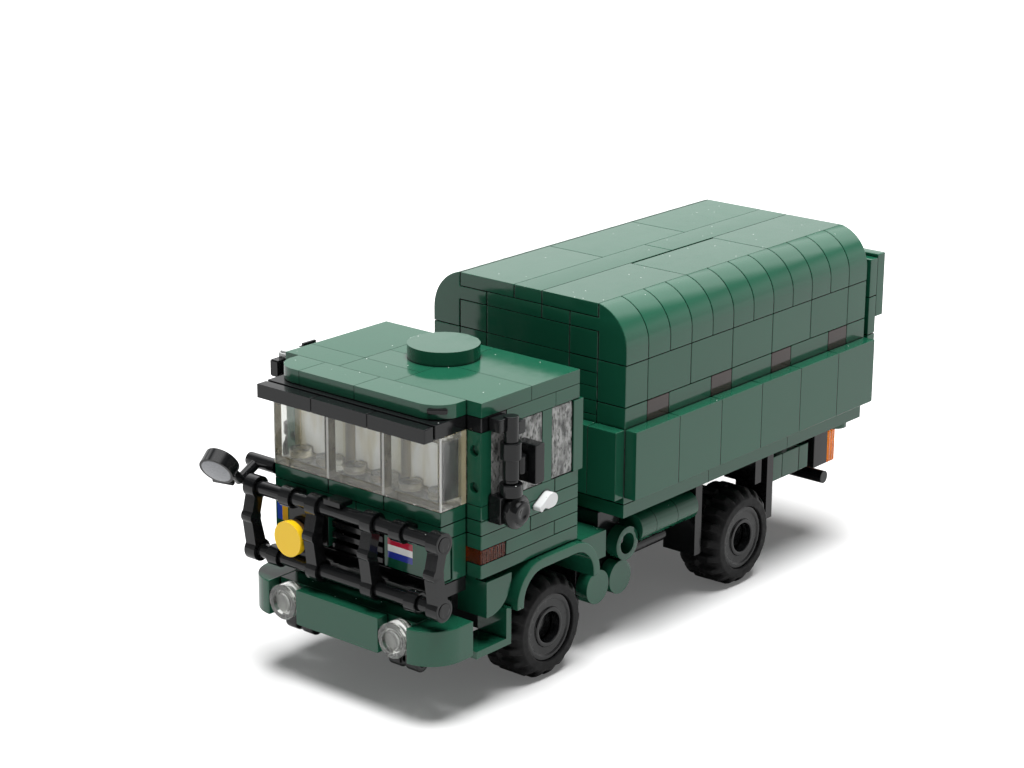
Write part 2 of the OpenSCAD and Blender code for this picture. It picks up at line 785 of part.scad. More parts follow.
module rear_bar() {
    x = -10.7 * stud;
    z = row(-4.3);
    place() color(black) {
        round_y(x, z, -3.1 * stud, 3.1 * stud, bar_d);
        both_sides() difference() {
            piece([x - 2.4, 0.2 * stud, z - 2.4], [x + 2.4, 0.8 * stud, row(-3)]);
            round_y(x, z, 0, stud, bar_d + 2 * clip_play);
        }
    }
}

chassis_spine();
front_axle();
rear_axle();
rim_fl();
rim_fr();
rim_rl();
rim_rr();
tyre_fl();
tyre_fr();
tyre_rl();
tyre_rr();
cab_floor();
cab_lining();
cab_seats();
cab_rear_wall();
cab_sides();
cab_front();
cab_window_frames();
side_windows();
windshield();
cab_roof();
roof_hatch();
visor();
grille();
front_tiles();
bull_bar_tubes();
bull_bar_arms();
sign_mount();
sign_disc();
bumper();
headlights();
tow_hooks();
front_fenders();
cab_steps();
indicators();
side_mirrors();
kerb_mirror();
door_handles();
bed_floor();
side_board_left();
side_board_right();
front_board();
tailgate();
rear_flap();
cover_walls();
cover_brown_bricks();
cover_shoulder_left();
cover_shoulder_right();
cover_roof();
cover_front_wall();
cover_rear_wall();
side_tanks();
side_discs();
mud_flaps();
tool_boxes();
tail_lamps();
lamp_housings();
rear_bar();
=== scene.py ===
import bmesh
import bpy
from math import cos, pi, radians, sin
from mathutils import Matrix, Vector


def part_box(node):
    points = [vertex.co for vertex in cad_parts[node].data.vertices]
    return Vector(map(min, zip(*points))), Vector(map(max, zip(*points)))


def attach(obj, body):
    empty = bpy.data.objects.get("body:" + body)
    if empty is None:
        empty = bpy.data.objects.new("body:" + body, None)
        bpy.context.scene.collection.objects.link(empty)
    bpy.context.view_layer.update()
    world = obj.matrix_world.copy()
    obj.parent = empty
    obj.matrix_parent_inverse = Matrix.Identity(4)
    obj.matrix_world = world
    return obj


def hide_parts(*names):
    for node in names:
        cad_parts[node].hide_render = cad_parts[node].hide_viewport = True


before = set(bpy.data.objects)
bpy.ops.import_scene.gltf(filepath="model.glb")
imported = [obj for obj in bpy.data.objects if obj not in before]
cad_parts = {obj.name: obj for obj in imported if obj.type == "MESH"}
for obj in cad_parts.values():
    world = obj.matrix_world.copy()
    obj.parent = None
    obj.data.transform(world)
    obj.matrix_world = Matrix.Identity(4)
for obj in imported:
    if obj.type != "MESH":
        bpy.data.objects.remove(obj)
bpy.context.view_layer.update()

# Chassis spine and axle carriers: black moulded beams, stacked and clutched stud to stud.
# Every brick leaves its mould with softly rounded edges and a polished, faintly wavy skin,
# and dust settles on what faces up.
MM = 0.001
BLACK_SHADE = "#121314"
DUST_SHADE = "#c4c8c4"
DUST_CELLS = 420.0
SPECK_REACH = 0.06
DUST_PATCHES = 130.0
FACES_UP = 0.8
FACES_FRONT = 0.7
# How far the painted seam shade looks for nearby surfaces.
SEAM_SHADE_REACH = 0.6 * MM
SEAT_LEAN = 0.012
MOULD_RIPPLE = 0.02
PLASTIC_BEND = 1.52
MOULDED_EDGE = 0.2 * MM
SHARP_TURN = radians(32)
JOINED = 0.002 * MM


def shade(code):
    """A colour code as linear red, green, blue and alpha."""
    parts = [int(code[i:i + 2], 16) / 255 for i in (1, 3, 5)]
    return [p / 12.92 if p <= 0.04045 else ((p + 0.055) / 1.055) ** 2.4 for p in parts] + [1.0]


def new_material(name):
    mat = bpy.data.materials.new(name)
    mat.use_nodes = True
    return mat, mat.node_tree.nodes["Principled BSDF"]


def wire(mat, source, target):
    mat.node_tree.links.new(source, target)


def add_node(mat, kind, **sockets):
    made = mat.node_tree.nodes.new(kind)
    for name, value in sockets.items():
        made.inputs[name.replace("_", " ")].default_value = value
    return made


def place_on_piece(mat):
    """Where a point lies on the truck, in metres, so that grain and prints have a real size."""
    found = mat.node_tree.nodes.get("place")
    if found is None:
        found = mat.node_tree.nodes.new("ShaderNodeTexCoord")
        found.name = "place"
    return found.outputs["Object"]


def skin_noise(mat, scale, detail=3.0, stretch=(1, 1, 1)):
    mapping = add_node(mat, "ShaderNodeMapping", Scale=stretch)
    noise = add_node(mat, "ShaderNodeTexNoise", Scale=scale, Detail=detail)
    wire(mat, place_on_piece(mat), mapping.inputs["Vector"])
    wire(mat, mapping.outputs["Vector"], noise.inputs["Vector"])
    return noise.outputs["Fac"]


def spread(mat, source, low, high, start=0.3, stop=0.7):
    """A value from start to stop spread over low to high."""
    ramp = add_node(mat, "ShaderNodeMapRange", From_Min=start, From_Max=stop, To_Min=low, To_Max=high)
    wire(mat, source, ramp.inputs["Value"])
    return ramp.outputs["Result"]


def work_out(mat, operation, first, second):
    """One sum of two values, each a number or the output of a node."""
    made = mat.node_tree.nodes.new("ShaderNodeMath")
    made.operation = operation
    for socket, value in zip(made.inputs, (first, second)):
        if isinstance(value, (int, float)):
            socket.default_value = value
        else:
            wire(mat, value, socket)
    return made.outputs[0]


def coat(mat, under, amount, colour):
    """A colour laid over another where amount is 1."""
    made = mat.node_tree.nodes.new("ShaderNodeMix")
    made.data_type = "RGBA"
    tones = [s for s in made.inputs if s.type == "RGBA"]
    wire(mat, amount, made.inputs["Factor"])
    if isinstance(under, list):
        tones[0].default_value = under
    else:
        wire(mat, under, tones[0])
    tones[1].default_value = colour
    return [s for s in made.outputs if s.type == "RGBA"][0]


def dust_specks(mat, facing):
    """1 on sparse specks of about a tenth of a millimetre on what faces up."""
    cells = add_node(mat, "ShaderNodeTexVoronoi", Scale=DUST_CELLS)
    wire(mat, place_on_piece(mat), cells.inputs["Vector"])
    speck = work_out(mat, "LESS_THAN", cells.outputs["Distance"], SPECK_REACH)
    sparse = work_out(mat, "GREATER_THAN", skin_noise(mat, DUST_PATCHES, 2.0), 0.5)
    upward = work_out(mat, "GREATER_THAN", facing.outputs["Z"], FACES_UP)
    return work_out(mat, "MULTIPLY", work_out(mat, "MULTIPLY", speck, sparse), upward)


def seated_askew(mat, geometry):
    """The normal of each brick turned a hair its own way, as clutched bricks never lie quite level."""
    own = mat.node_tree.nodes.new("ShaderNodeTexWhiteNoise")
    own.noise_dimensions = "1D"
    wire(mat, geometry.outputs["Random Per Island"], own.inputs["W"])
    turn = mat.node_tree.nodes.new("ShaderNodeVectorMath")
    turn.operation = "MULTIPLY_ADD"
    wire(mat, own.outputs["Color"], turn.inputs[0])
    turn.inputs[1].default_value = (2 * SEAT_LEAN,) * 3
    turn.inputs[2].default_value = (-SEAT_LEAN,) * 3
    total = mat.node_tree.nodes.new("ShaderNodeVectorMath")
    wire(mat, geometry.outputs["Normal"], total.inputs[0])
    wire(mat, turn.outputs[0], total.inputs[1])
    unit = mat.node_tree.nodes.new("ShaderNodeVectorMath")
    unit.operation = "NORMALIZE"
    wire(mat, total.outputs[0], unit.inputs[0])
    return unit.outputs[0]


def moulded_plastic(name, code, gloss=(0.08, 0.15), tint=0.05, shine=0.5, prints=()):
    """Injection-moulded plastic: brick-to-brick tint, painted shade in the seams, mould ripple, dust and
    prints.
    Each print is a colour code with its reach across and up the front face, in millimetres."""
    mat, skin = new_material(name)
    skin.inputs["IOR"].default_value = PLASTIC_BEND
    skin.inputs["Specular IOR Level"].default_value = shine
    geometry = mat.node_tree.nodes.new("ShaderNodeNewGeometry")
    facing = mat.node_tree.nodes.new("ShaderNodeSeparateXYZ")
    wire(mat, geometry.outputs["Normal"], facing.inputs[0])
    brick_tint = spread(mat, geometry.outputs["Random Per Island"], 1 - tint, 1 + tint, 0.0, 1.0)
    cloud = spread(mat, skin_noise(mat, 60.0), 1 - tint / 2, 1 + tint / 2)
    # Painted shade: an ambient occlusion test darkens the colour in seams, creases and corners, where shade
    # falls.
    seam_occlusion = add_node(mat, "ShaderNodeAmbientOcclusion", Distance=SEAM_SHADE_REACH)
    seam_occlusion.samples = 6
    painted_seam_shade = spread(mat, seam_occlusion.outputs["AO"], 0.1, 1.0, 0.5, 0.9)
    body = add_node(mat, "ShaderNodeHueSaturation", Color=shade(code))
    tone = work_out(mat, "MULTIPLY", work_out(mat, "MULTIPLY", brick_tint, cloud), painted_seam_shade)
    wire(mat, tone, body.inputs["Value"])
    colour = body.outputs["Color"]
    if prints:
        where = mat.node_tree.nodes.new("ShaderNodeSeparateXYZ")
        wire(mat, place_on_piece(mat), where.inputs[0])
        front = work_out(mat, "GREATER_THAN", facing.outputs["X"], FACES_FRONT)
        for ink, across, rise in prints:
            inside = front
            for axis, (low, high) in (("Y", across), ("Z", rise)):
                past_low = work_out(mat, "GREATER_THAN", where.outputs[axis], low * MM)
                before_high = work_out(mat, "LESS_THAN", where.outputs[axis], high * MM)
                inside = work_out(mat, "MULTIPLY", work_out(mat, "MULTIPLY", inside, past_low), before_high)
            colour = coat(mat, colour, inside, shade(ink))
    colour = coat(mat, colour, dust_specks(mat, facing), shade(DUST_SHADE))
    wire(mat, colour, skin.inputs["Base Color"])
    wire(mat, spread(mat, skin_noise(mat, 300.0, 4.0), *gloss), skin.inputs["Roughness"])
    bump = add_node(mat, "ShaderNodeBump", Strength=MOULD_RIPPLE, Distance=0.2 * MM)
    wire(mat, skin_noise(mat, 150.0, 2.0), bump.inputs["Height"])
    wire(mat, seated_askew(mat, geometry), bump.inputs["Normal"])
    wire(mat, bump.outputs["Normal"], skin.inputs["Normal"])
    return mat


def soften(part, width, steps):
    """Joins the part's faces, rounds its edges and lets the flats keep a flat sheen."""
    weld = part.modifiers.new("joined", "WELD")
    weld.merge_threshold = JOINED
    edge = part.modifiers.new("moulded edge", "BEVEL")
    edge.width = width
    edge.segments = steps
    edge.limit_method = "ANGLE"
    edge.angle_limit = SHARP_TURN
    flats = part.modifiers.new("flat sheen", "WEIGHTED_NORMAL")
    flats.keep_sharp = True


def finish_nodes(names, mat, width=MOULDED_EDGE, steps=2):
    for name in names:
        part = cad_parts[name]
        for slot in part.material_slots:
            slot.material = mat
        for face in part.data.polygons:
            face.use_smooth = True
        soften(part, width, steps)


black_plastic = moulded_plastic("black moulded plastic", BLACK_SHADE, gloss=(0.1, 0.18), shine=0.36)
finish_nodes(["chassis_spine", "front_axle", "rear_axle"], black_plastic)

# Wheels: a hard black rim that turns on a pin, in a soft tyre with two rows of blocky lugs.
# The tyre is moulded rubber, dull, and a little greyer where it is handled.
TYRE_SHADE = "#101011"
WORN_SHADE = "#242424"
RUBBER_SHINE = 0.18
RIM_EDGE = 0.18 * MM
LUG_EDGE = 0.32 * MM


def tyre_rubber():
    mat, skin = new_material("soft tyre rubber")
    skin.inputs["Specular IOR Level"].default_value = RUBBER_SHINE
    worn = coat(mat, shade(TYRE_SHADE), spread(mat, skin_noise(mat, 300.0, 6.0), 0.0, 0.6), shade(WORN_SHADE))
    wire(mat, worn, skin.inputs["Base Color"])
    wire(mat, spread(mat, skin_noise(mat, 700.0, 4.0), 0.42, 0.6), skin.inputs["Roughness"])
    bump = add_node(mat, "ShaderNodeBump", Strength=0.12, Distance=0.12 * MM)
    wire(mat, skin_noise(mat, 2400.0), bump.inputs["Height"])
    wire(mat, bump.outputs["Normal"], skin.inputs["Normal"])
    return mat


rubber = tyre_rubber()
for corner in ("fl", "fr", "rl", "rr"):
    finish_nodes(["rim_" + corner], black_plastic, RIM_EDGE)
    finish_nodes(["tyre_" + corner], rubber, LUG_EDGE, 3)

# Cab shell: dark green bricks, plates and tiles round a hollow cabin with a pale lining and tan seats.
# The pieces clutch each other, with a hairline seam round each one.
GREEN_SHADE = "#18513c"
TAN_SHADE = "#a58a5c"
LINING_SHADE = "#cfd1d0"
green_plastic = moulded_plastic("dark green moulded plastic", GREEN_SHADE)
tan_plastic = moulded_plastic("tan moulded plastic", TAN_SHADE)
pale_grey_plastic = moulded_plastic("pale grey moulded plastic", LINING_SHADE, tint=0.03)
finish_nodes(["cab_floor", "cab_rear_wall", "cab_sides", "cab_front", "cab_window_frames", "cab_roof",
              "roof_hatch"], green_plastic)
finish_nodes(["cab_seats"], tan_plastic)
finish_nodes(["cab_lining"], pale_grey_plastic)
finish_nodes(["visor"], black_plastic)

# Windows: three clear bricks across the front and two in each side, pressed into the frames.
# The front ones are hollow, with milky walls, painted highlights as milky lines down their joints,
# and pale bricks close behind. The side bricks carry painted glints for light bent by their inner ribs.
CLEAR_SHADE = "#fbfcf9"
PAINTED_GLINT_SHADE = "#414342"
CREAM_SHADE = "#d9cfae"
GREY_SHADE = "#8b8c8a"
PANE_BACK_SHADE = "#f4f4f2"
PANES = 3
PANE_WALL = 1.5 * MM
PANE_EDGE = 0.3 * MM
JOINT_HIGHLIGHT_MILK = 0.6
REAR_MILK = 0.45
FOOT_MILK = 0.12
CLEAR_POLISH = (0.0, 0.03)
PANE_GAP = 0.1
BACK_DEEP = (0.1, 0.6)
STRIP_DEEP = (0.65, 1.3)
STRIP_WIDE = 1.0
END_DEEP = 1.4
END_THICK = 0.4
END_SHORT = 0.3
FINE_EDGE = 0.1


def clear_plastic(name, code, haze, ripple, milk=0.15, bend=1.3):
    mat, skin = new_material(name)
    skin.inputs["Base Color"].default_value = shade(code)
    skin.inputs["Transmission Weight"].default_value = 1 - milk
    skin.inputs["IOR"].default_value = bend
    wire(mat, spread(mat, skin_noise(mat, 300.0), *haze), skin.inputs["Roughness"])
    bump = add_node(mat, "ShaderNodeBump", Strength=ripple, Distance=0.5 * MM)
    wire(mat, skin_noise(mat, 420.0, 2.0), bump.inputs["Height"])
    wire(mat, bump.outputs["Normal"], skin.inputs["Normal"])
    return mat


def clear_hollow_bricks(low, high, wide):
    """Clear bricks milky at foot and top, painted highlights as milky joint lines, cream where the cab stands
    behind.
    """
    mat = clear_plastic("clear windshield", CLEAR_SHADE, CLEAR_POLISH, 0.02, bend=1.42)
    skin = mat.node_tree.nodes["Principled BSDF"]
    where = mat.node_tree.nodes.new("ShaderNodeSeparateXYZ")
    wire(mat, place_on_piece(mat), where.inputs[0])
    from_joint = work_out(mat, "PINGPONG", work_out(mat, "SUBTRACT", where.outputs["Y"], low.y), wide / 2)
    # Painted highlight: a thin line down each joint on the front face is made milky white, for light caught
    # on the edges.
    edge = work_out(mat, "MULTIPLY", work_out(mat, "LESS_THAN", from_joint, PANE_EDGE),
                    work_out(mat, "GREATER_THAN", where.outputs["X"], high.x - PANE_EDGE))
    foot = work_out(mat, "LESS_THAN", where.outputs["Z"], low.z + PANE_WALL)
    top = work_out(mat, "GREATER_THAN", where.outputs["Z"], high.z - PANE_WALL)
    rear = work_out(mat, "LESS_THAN", where.outputs["X"], low.x + PANE_WALL)
    milk = work_out(mat, "MAXIMUM", work_out(mat, "MULTIPLY", edge, JOINT_HIGHLIGHT_MILK),
                    work_out(mat, "MULTIPLY", rear, REAR_MILK))
    ends = work_out(mat, "MAXIMUM", foot, top)
    milk = work_out(mat, "MAXIMUM", milk, work_out(mat, "MULTIPLY", ends, FOOT_MILK))
    cloudy = work_out(mat, "MAXIMUM", milk, spread(mat, skin_noise(mat, 260.0), 0.02, 0.07))
    wire(mat, work_out(mat, "SUBTRACT", 1.0, cloudy), skin.inputs["Transmission Weight"])
    wire(mat, coat(mat, shade(CLEAR_SHADE), rear, shade(CREAM_SHADE)), skin.inputs["Base Color"])
    return mat


def painted_glint_bricks():
    """Clear bricks with painted glints: noise lays dark grey into their colour for the light their inner ribs
    bend.
    """
    mat = clear_plastic("clear window bricks", CLEAR_SHADE, (0.03, 0.12), 0.6, milk=0.5, bend=1.35)
    skin = mat.node_tree.nodes["Principled BSDF"]
    # Painted glints: light and dark specks in the colour stand in for light bent by the inner ribs.
    fine = spread(mat, skin_noise(mat, 1500.0, 4.0, (1, 1, 0.45)), 0.05, 0.9, 0.4, 0.62)
    coarse = spread(mat, skin_noise(mat, 600.0, 3.0, (1, 1, 0.6)), 0.25, 0.9, 0.4, 0.65)
    dark = work_out(mat, "MAXIMUM", fine, coarse)
    wire(mat, coat(mat, shade(CLEAR_SHADE), dark, shade(PAINTED_GLINT_SHADE)), skin.inputs["Base Color"])
    return mat


def pale_pane_backs():
    """Near-white plastic with upright cream streaks."""
    mat = moulded_plastic("pale pane backs", PANE_BACK_SHADE, tint=0.02)
    skin = mat.node_tree.nodes["Principled BSDF"]
    plain = skin.inputs["Base Color"].links[0].from_socket
    streaks = spread(mat, skin_noise(mat, 240.0, 2.0, (1, 1, 0.25)), 0.0, 0.7, 0.48, 0.66)
    wire(mat, coat(mat, plain, streaks, shade(CREAM_SHADE)), skin.inputs["Base Color"])
    return mat


def block(name, low, high, mat, slot, round_edge=0.2, turn=0.0):
    """A brick between two corners, in millimetres, with rounded edges, turned about its own upright axis."""
    work = bmesh.new()
    bmesh.ops.create_cube(work, size=1.0)
    for vert in work.verts:
        vert.co = [(low[i] + (vert.co[i] + 0.5) * (high[i] - low[i])) * MM for i in range(3)]
    bmesh.ops.bevel(work, geom=work.edges[:], offset=round_edge * MM, segments=2, affect="EDGES")
    middle = (Vector(low) + Vector(high)) / 2 * MM
    bmesh.ops.rotate(work, verts=work.verts[:], cent=middle, matrix=Matrix.Rotation(radians(turn), 3, "Z"))
    mesh = bpy.data.meshes.new(name)
    work.to_mesh(mesh)
    work.free()
    mesh.materials.append(mat)
    piece = bpy.data.objects.new(name, mesh)
    bpy.context.collection.objects.link(piece)
    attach(piece, "truck")


pane_low, pane_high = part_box("windshield")
pane_w = (pane_high.y - pane_low.y) / PANES
finish_nodes(["windshield"], clear_hollow_bricks(pane_low, pane_high, pane_w), 0.25 * MM)
finish_nodes(["side_windows"], painted_glint_bricks(), 0.3 * MM)
cream_plastic = moulded_plastic("cream moulded plastic", CREAM_SHADE, tint=0.03)
grey_plastic = moulded_plastic("grey moulded plastic", GREY_SHADE, tint=0.03)
pane_white = pale_pane_backs()
low, high, wide = pane_low / MM, pane_high / MM, pane_w / MM
inset = PANE_WALL / MM + PANE_GAP
for i in range(PANES):
    y, y_end = low.y + i * wide + inset, low.y + (i + 1) * wide - inset
    block(f"pane_back_{i}", (low.x + BACK_DEEP[0], y, low.z + inset),
          (low.x + BACK_DEEP[1], y_end, high.z - inset), pane_white, "pale_grey_plastic", FINE_EDGE)
    block(f"pane_strip_{i}", (low.x + STRIP_DEEP[0], y_end - STRIP_WIDE, low.z + inset),
          (low.x + STRIP_DEEP[1], y_end, high.z - inset), cream_plastic, "pale_grey_plastic", FINE_EDGE)
block("pane_end", (low.x + END_DEEP, high.y - inset - END_THICK, low.z + inset),
      (high.x - inset - END_SHORT, high.y - inset, high.z - inset), grey_plastic, "pale_grey_plastic",
      FINE_EDGE)

# Nose: a black grille with a flat strip beside its right edge, between two large green tiles.
# The tiles carry printed colour, and all of it is pressed onto the cab's front bricks.
# The left one has three level stripes, the right one plain blocks of two colours.
STRIPE_ACROSS = (9.1, 16.1)
STRIPE_LOW = 32.9
STRIPE_RISE = 1.46
STRIPE_INKS = ("#2b3aa0", "#eeeeec", "#b3203a")
BLOCK_RISE = (33.6, 37.4)
BLOCK_INKS = (("#2b49b0", (-23.4, -21.9)), ("#e0a92a", (-21.9, -20.2)))
GRILLE_FRAME = ((72.85, -10.6, 31.0), (73.15, -8.1, 40.0))
stripes = [(ink, STRIPE_ACROSS, (STRIPE_LOW + i * STRIPE_RISE, STRIPE_LOW + (i + 1) * STRIPE_RISE))
           for i, ink in enumerate(STRIPE_INKS)]
blocks = [(ink, across, BLOCK_RISE) for ink, across in BLOCK_INKS]
finish_nodes(["grille"], black_plastic)
block("grille_frame", *GRILLE_FRAME, black_plastic, "black_plastic", FINE_EDGE)
finish_nodes(["front_tiles"], moulded_plastic("printed green tiles", GREEN_SHADE, prints=stripes + blocks))

# Bull bar: black bars clipped across the nose, held by bent arms.
# A round yellow tile on a brown plate hangs between the bars as a blank sign.
YELLOW_SHADE = "#ffd01e"
SIGN_BACK_SHADE = "#7a5a36"
finish_nodes(["bull_bar_tubes", "bull_bar_arms"], black_plastic)
finish_nodes(["sign_mount"], moulded_plastic("brown sign plate", SIGN_BACK_SHADE))
finish_nodes(["sign_disc"], moulded_plastic("yellow moulded plastic", YELLOW_SHADE, tint=0.03))

# Bumper: green bricks with round ends, two clear headlights and black tow hooks below.
# Each lamp is a clear cup with a ringed lens in it, over a bright foil.
FOIL_SHADE = "#dfe7e3"
FOIL_DISC = [(0, -0.16), (3.5, -0.16), (3.5, -0.04), (0, -0.04)]
LENS_RINGS = [(0, 0.7), (1.5, 0.67), (2.2, 0.57), (2.3, 0.36), (2.42, 0.36), (2.5, 0.5), (2.68, 0.46),
              (2.75, 0.3), (2.75, 0.0), (0, 0.0)]
LENS_OUT = 1.95 * MM
FORWARD = (1, 0, 0)
SIDES = (("left", 1), ("right", -1))
finish_nodes(["bumper"], green_plastic)
finish_nodes(["tow_hooks"], black_plastic)
clear_lamp = clear_plastic("clear headlight", CLEAR_SHADE, CLEAR_POLISH, 0.04, milk=0.04, bend=1.45)
finish_nodes(["headlights"], clear_lamp, 0.3 * MM)


def turned(name, profile, centre, axis, mat, steps=64):
    """A piece turned on a lathe: radius and height along the axis, in millimetres, closed on the axis."""
    mesh = bpy.data.meshes.new(name)
    work = bmesh.new()
    loops = []
    for radius, height in profile:
        count = 1 if radius == 0 else steps
        angles = [2 * pi * i / steps for i in range(count)]
        loops.append([work.verts.new((radius * MM * cos(a), radius * MM * sin(a), height * MM))
                      for a in angles])
    for low, high in zip(loops, loops[1:]):
        for i in range(steps):
            j = (i + 1) % steps
            corners = [low[i % len(low)], low[j % len(low)], high[j % len(high)], high[i % len(high)]]
            work.faces.new(list(dict.fromkeys(corners)))
    bmesh.ops.recalc_face_normals(work, faces=work.faces)
    for face in work.faces:
        face.smooth = True
    work.to_mesh(mesh)
    work.free()
    mesh.materials.append(mat)
    piece = bpy.data.objects.new(name, mesh)
    along_axis = Vector(axis).to_track_quat("Z", "Y").to_matrix().to_4x4()
    piece.matrix_world = Matrix.Translation(centre) @ along_axis
    bpy.context.collection.objects.link(piece)
    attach(piece, "truck")


foil = moulded_plastic("bright lamp foil", FOIL_SHADE, tint=0.02, shine=0.8)
lamp_low, lamp_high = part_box("headlights")
lamp_mid = (lamp_low + lamp_high) / 2
lamp_y = lamp_high.y - (lamp_high.z - lamp_low.z) / 2
for side, sign in SIDES:
    spot = Vector((lamp_low.x, sign * lamp_y, lamp_mid.z))
    turned("headlight_foil_" + side, FOIL_DISC, spot, FORWARD, foil)
    turned("headlight_lens_" + side, LENS_RINGS, spot + Vector((LENS_OUT, 0, 0)), FORWARD, clear_lamp)

# Cab sides: green fenders and steps, with an orange lamp on each side of the cab.
# The lamps are clear moulded pieces with upright ribs, clutched between the bricks.
ORANGE_SHADE = "#c2500a"
LAMP_BEND = 1.4


def ribbed_lens(name, code, through, painted_glow):
    mat, skin = new_material(name)
    skin.inputs["Transmission Weight"].default_value = through
    skin.inputs["IOR"].default_value = LAMP_BEND
    skin.inputs["Emission Color"].default_value = shade(code)
    # Painted light: the lens gives off a glow of its own colour.
    skin.inputs["Emission Strength"].default_value = painted_glow
    skin.inputs["Base Color"].default_value = shade(code)
    wire(mat, spread(mat, skin_noise(mat, 500.0), 0.06, 0.2), skin.inputs["Roughness"])
    ribs = add_node(mat, "ShaderNodeTexWave", Scale=260.0)
    ribs.bands_direction = "X"
    wire(mat, place_on_piece(mat), ribs.inputs["Vector"])
    bump = add_node(mat, "ShaderNodeBump", Strength=0.7, Distance=0.3 * MM)
    wire(mat, ribs.outputs["Fac"], bump.inputs["Height"])
    wire(mat, bump.outputs["Normal"], skin.inputs["Normal"])
    return mat


finish_nodes(["front_fenders", "cab_steps"], green_plastic)
finish_nodes(["indicators"], ribbed_lens("clear orange lamp", ORANGE_SHADE, 0.9, 0.0))

# Mirrors: a stepped black column on each side of the cab carries a hinge leaf, a clip, the mirror plate
# and a round button on a block. The kerb mirror is a grey-faced disc on an arm at the right front corner,
# and small clipped bits stand at the right roof edge and on the roof's left front corner.
MIRROR_SHADE = "#8e9094"
COLUMN = Vector((59.212, 31.2, 30.2))
PLATE_RISE = 3.2
CAB_SIDE = 28.0
COLUMN_STEPS = ((9.2, 11, 1.59), (8.1, 9.25, 2.3), (6.7, 8.15, 1.8), (6.4, 6.75, 1.59), (5.6, 6.45, 2.45))
BLOCK_OUT = 31.2
MIRROR_BOXES = (
    ((-1.2, 3.4), (CAB_SIDE, 31.2), (10, 10.9)),
    ((-3.2, -1.0), (30.0, 32.4), (9.7, 10.6)),
    ((-7.55, -4.65), (28.36, 33.94), (6.12, 8.78)),
    ((-4.7, -3.0), (30.2, 31.6), (7, 8)),
    ((-1.6, 3.3), (CAB_SIDE, BLOCK_OUT), (3.8, 5.65)),
)
CLIP_POST = (-3.0, COLUMN.y - 0.4, 6.9, 8.1, 1.59)
BUTTON = [(0, 0), (3.5, 0), (3.7, 0.2), (3.7, 1.4), (3.5, 1.6), (2.4, 1.6), (2.4, 2.65), (2.25, 2.8),
          (1.2, 2.8), (1.1, 2.7), (0, 2.7)]
BUTTON_BACK = 0.9
BUTTON_SUNK = 0.15
BUTTON_RISE = 44.55
KERB_SPOT = Vector((84.81, -29.44, 46.1)) * MM
KERB_WAY = Vector((0.804, 0.201, -0.559))
KERB_UNDER = Vector((-0.542, -0.135, -0.829))
KERB_FACE = [(0, 0.05), (3.3, 0.05), (3.45, 0.0), (3.45, -0.3), (0, -0.3)]
KERB_FINGER = [(0, -2.6), (0.45, -2.6), (0.65, -2.4), (0.65, 2.4), (0.45, 2.6), (0, 2.6)]
FINGER_DROP = 4.1
FINGER_BACK = 0.6
FAR_LEAF = ((62.4, -32.2, 62.4), (65.6, -29.5, 66.2))
FAR_CAP = ((57.5, -32.5, 64.6), (62.9, -29.5, 67.6))
FAR_BAR = ((51.7, -32.2, 65.4), (57.4, -29.8, 68.0))
ROOF_CLIP = ((71.0, 19.76, 66.65), (71.8, 23.96, 67.75))
ROOF_CLIP_TURN = 40


def side_mirror_arms():
    """Both mirror arms: a stepped column with its hinge leaf, clip, mirror plate and the block under it.
    Heights are in plates from the cab's floor line, the rest in millimetres from the column."""
    work = bmesh.new()
    posts = [(0.0, COLUMN.y, *step) for step in COLUMN_STEPS] + [CLIP_POST]
    for sign in (1, -1):
        for x, y, foot, head, radius in posts:
            spot = Vector((COLUMN.x + x, sign * y, COLUMN.z + PLATE_RISE * (foot + head) / 2)) * MM
            bmesh.ops.create_cone(work, cap_ends=True, segments=48, radius1=radius * MM, radius2=radius * MM,
                                  depth=PLATE_RISE * (head - foot) * MM, matrix=Matrix.Translation(spot))
        for across, out, rise in MIRROR_BOXES:
            low = Vector((COLUMN.x + across[0], sign * out[0], COLUMN.z + PLATE_RISE * rise[0])) * MM
            high = Vector((COLUMN.x + across[1], sign * out[1], COLUMN.z + PLATE_RISE * rise[1])) * MM
            size = Matrix.Diagonal([abs(side) for side in high - low] + [1])
            bmesh.ops.create_cube(work, size=1.0, matrix=Matrix.Translation((low + high) / 2) @ size)
    for face in work.faces:
        face.smooth = True
    mesh = bpy.data.meshes.new("side_mirror_arms")
    work.to_mesh(mesh)
    work.free()
    mesh.materials.append(black_plastic)
    piece = bpy.data.objects.new("side_mirror_arms", mesh)
    bpy.context.collection.objects.link(piece)
    soften(piece, MOULDED_EDGE, 2)
    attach(piece, "truck")
    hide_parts("side_mirrors")


finish_nodes(["kerb_mirror"], black_plastic)
side_mirror_arms()
for side, sign in SIDES:
    spot = Vector((COLUMN.x - BUTTON_BACK, sign * (BLOCK_OUT - BUTTON_SUNK), BUTTON_RISE)) * MM
    turned("mirror_button_" + side, BUTTON, spot, (0, sign, 0), black_plastic)
mirror_grey = moulded_plastic("grey mirror face", MIRROR_SHADE, gloss=(0.2, 0.35), tint=0.02)
turned("kerb_mirror_face", KERB_FACE, KERB_SPOT, KERB_WAY, mirror_grey)
finger_spot = KERB_SPOT + KERB_UNDER * FINGER_DROP * MM - KERB_WAY * FINGER_BACK * MM
turned("kerb_mirror_finger", KERB_FINGER, finger_spot, KERB_WAY.cross(KERB_UNDER), black_plastic,
       24)
block("far_leaf", *FAR_LEAF, black_plastic, "black_plastic", 0.3)
block("far_cap", *FAR_CAP, pale_grey_plastic, "pale_grey_plastic", 0.5)
block("far_bar", *FAR_BAR, black_plastic, "black_plastic", 0.9)
block("roof_clip", *ROOF_CLIP, black_plastic, "black_plastic", turn=ROOF_CLIP_TURN)

# Door levers: a pale lever on each side of the cab, clipped on below the window.
# They are moulded in one piece, with well rounded edges.
LEVER_SHADE = "#e3e4e4"
LEVER_SLIM = (0.82, 0.76)
LEVER_LIFT = 0.3 * MM
LEVER_EDGE = 0.4 * MM


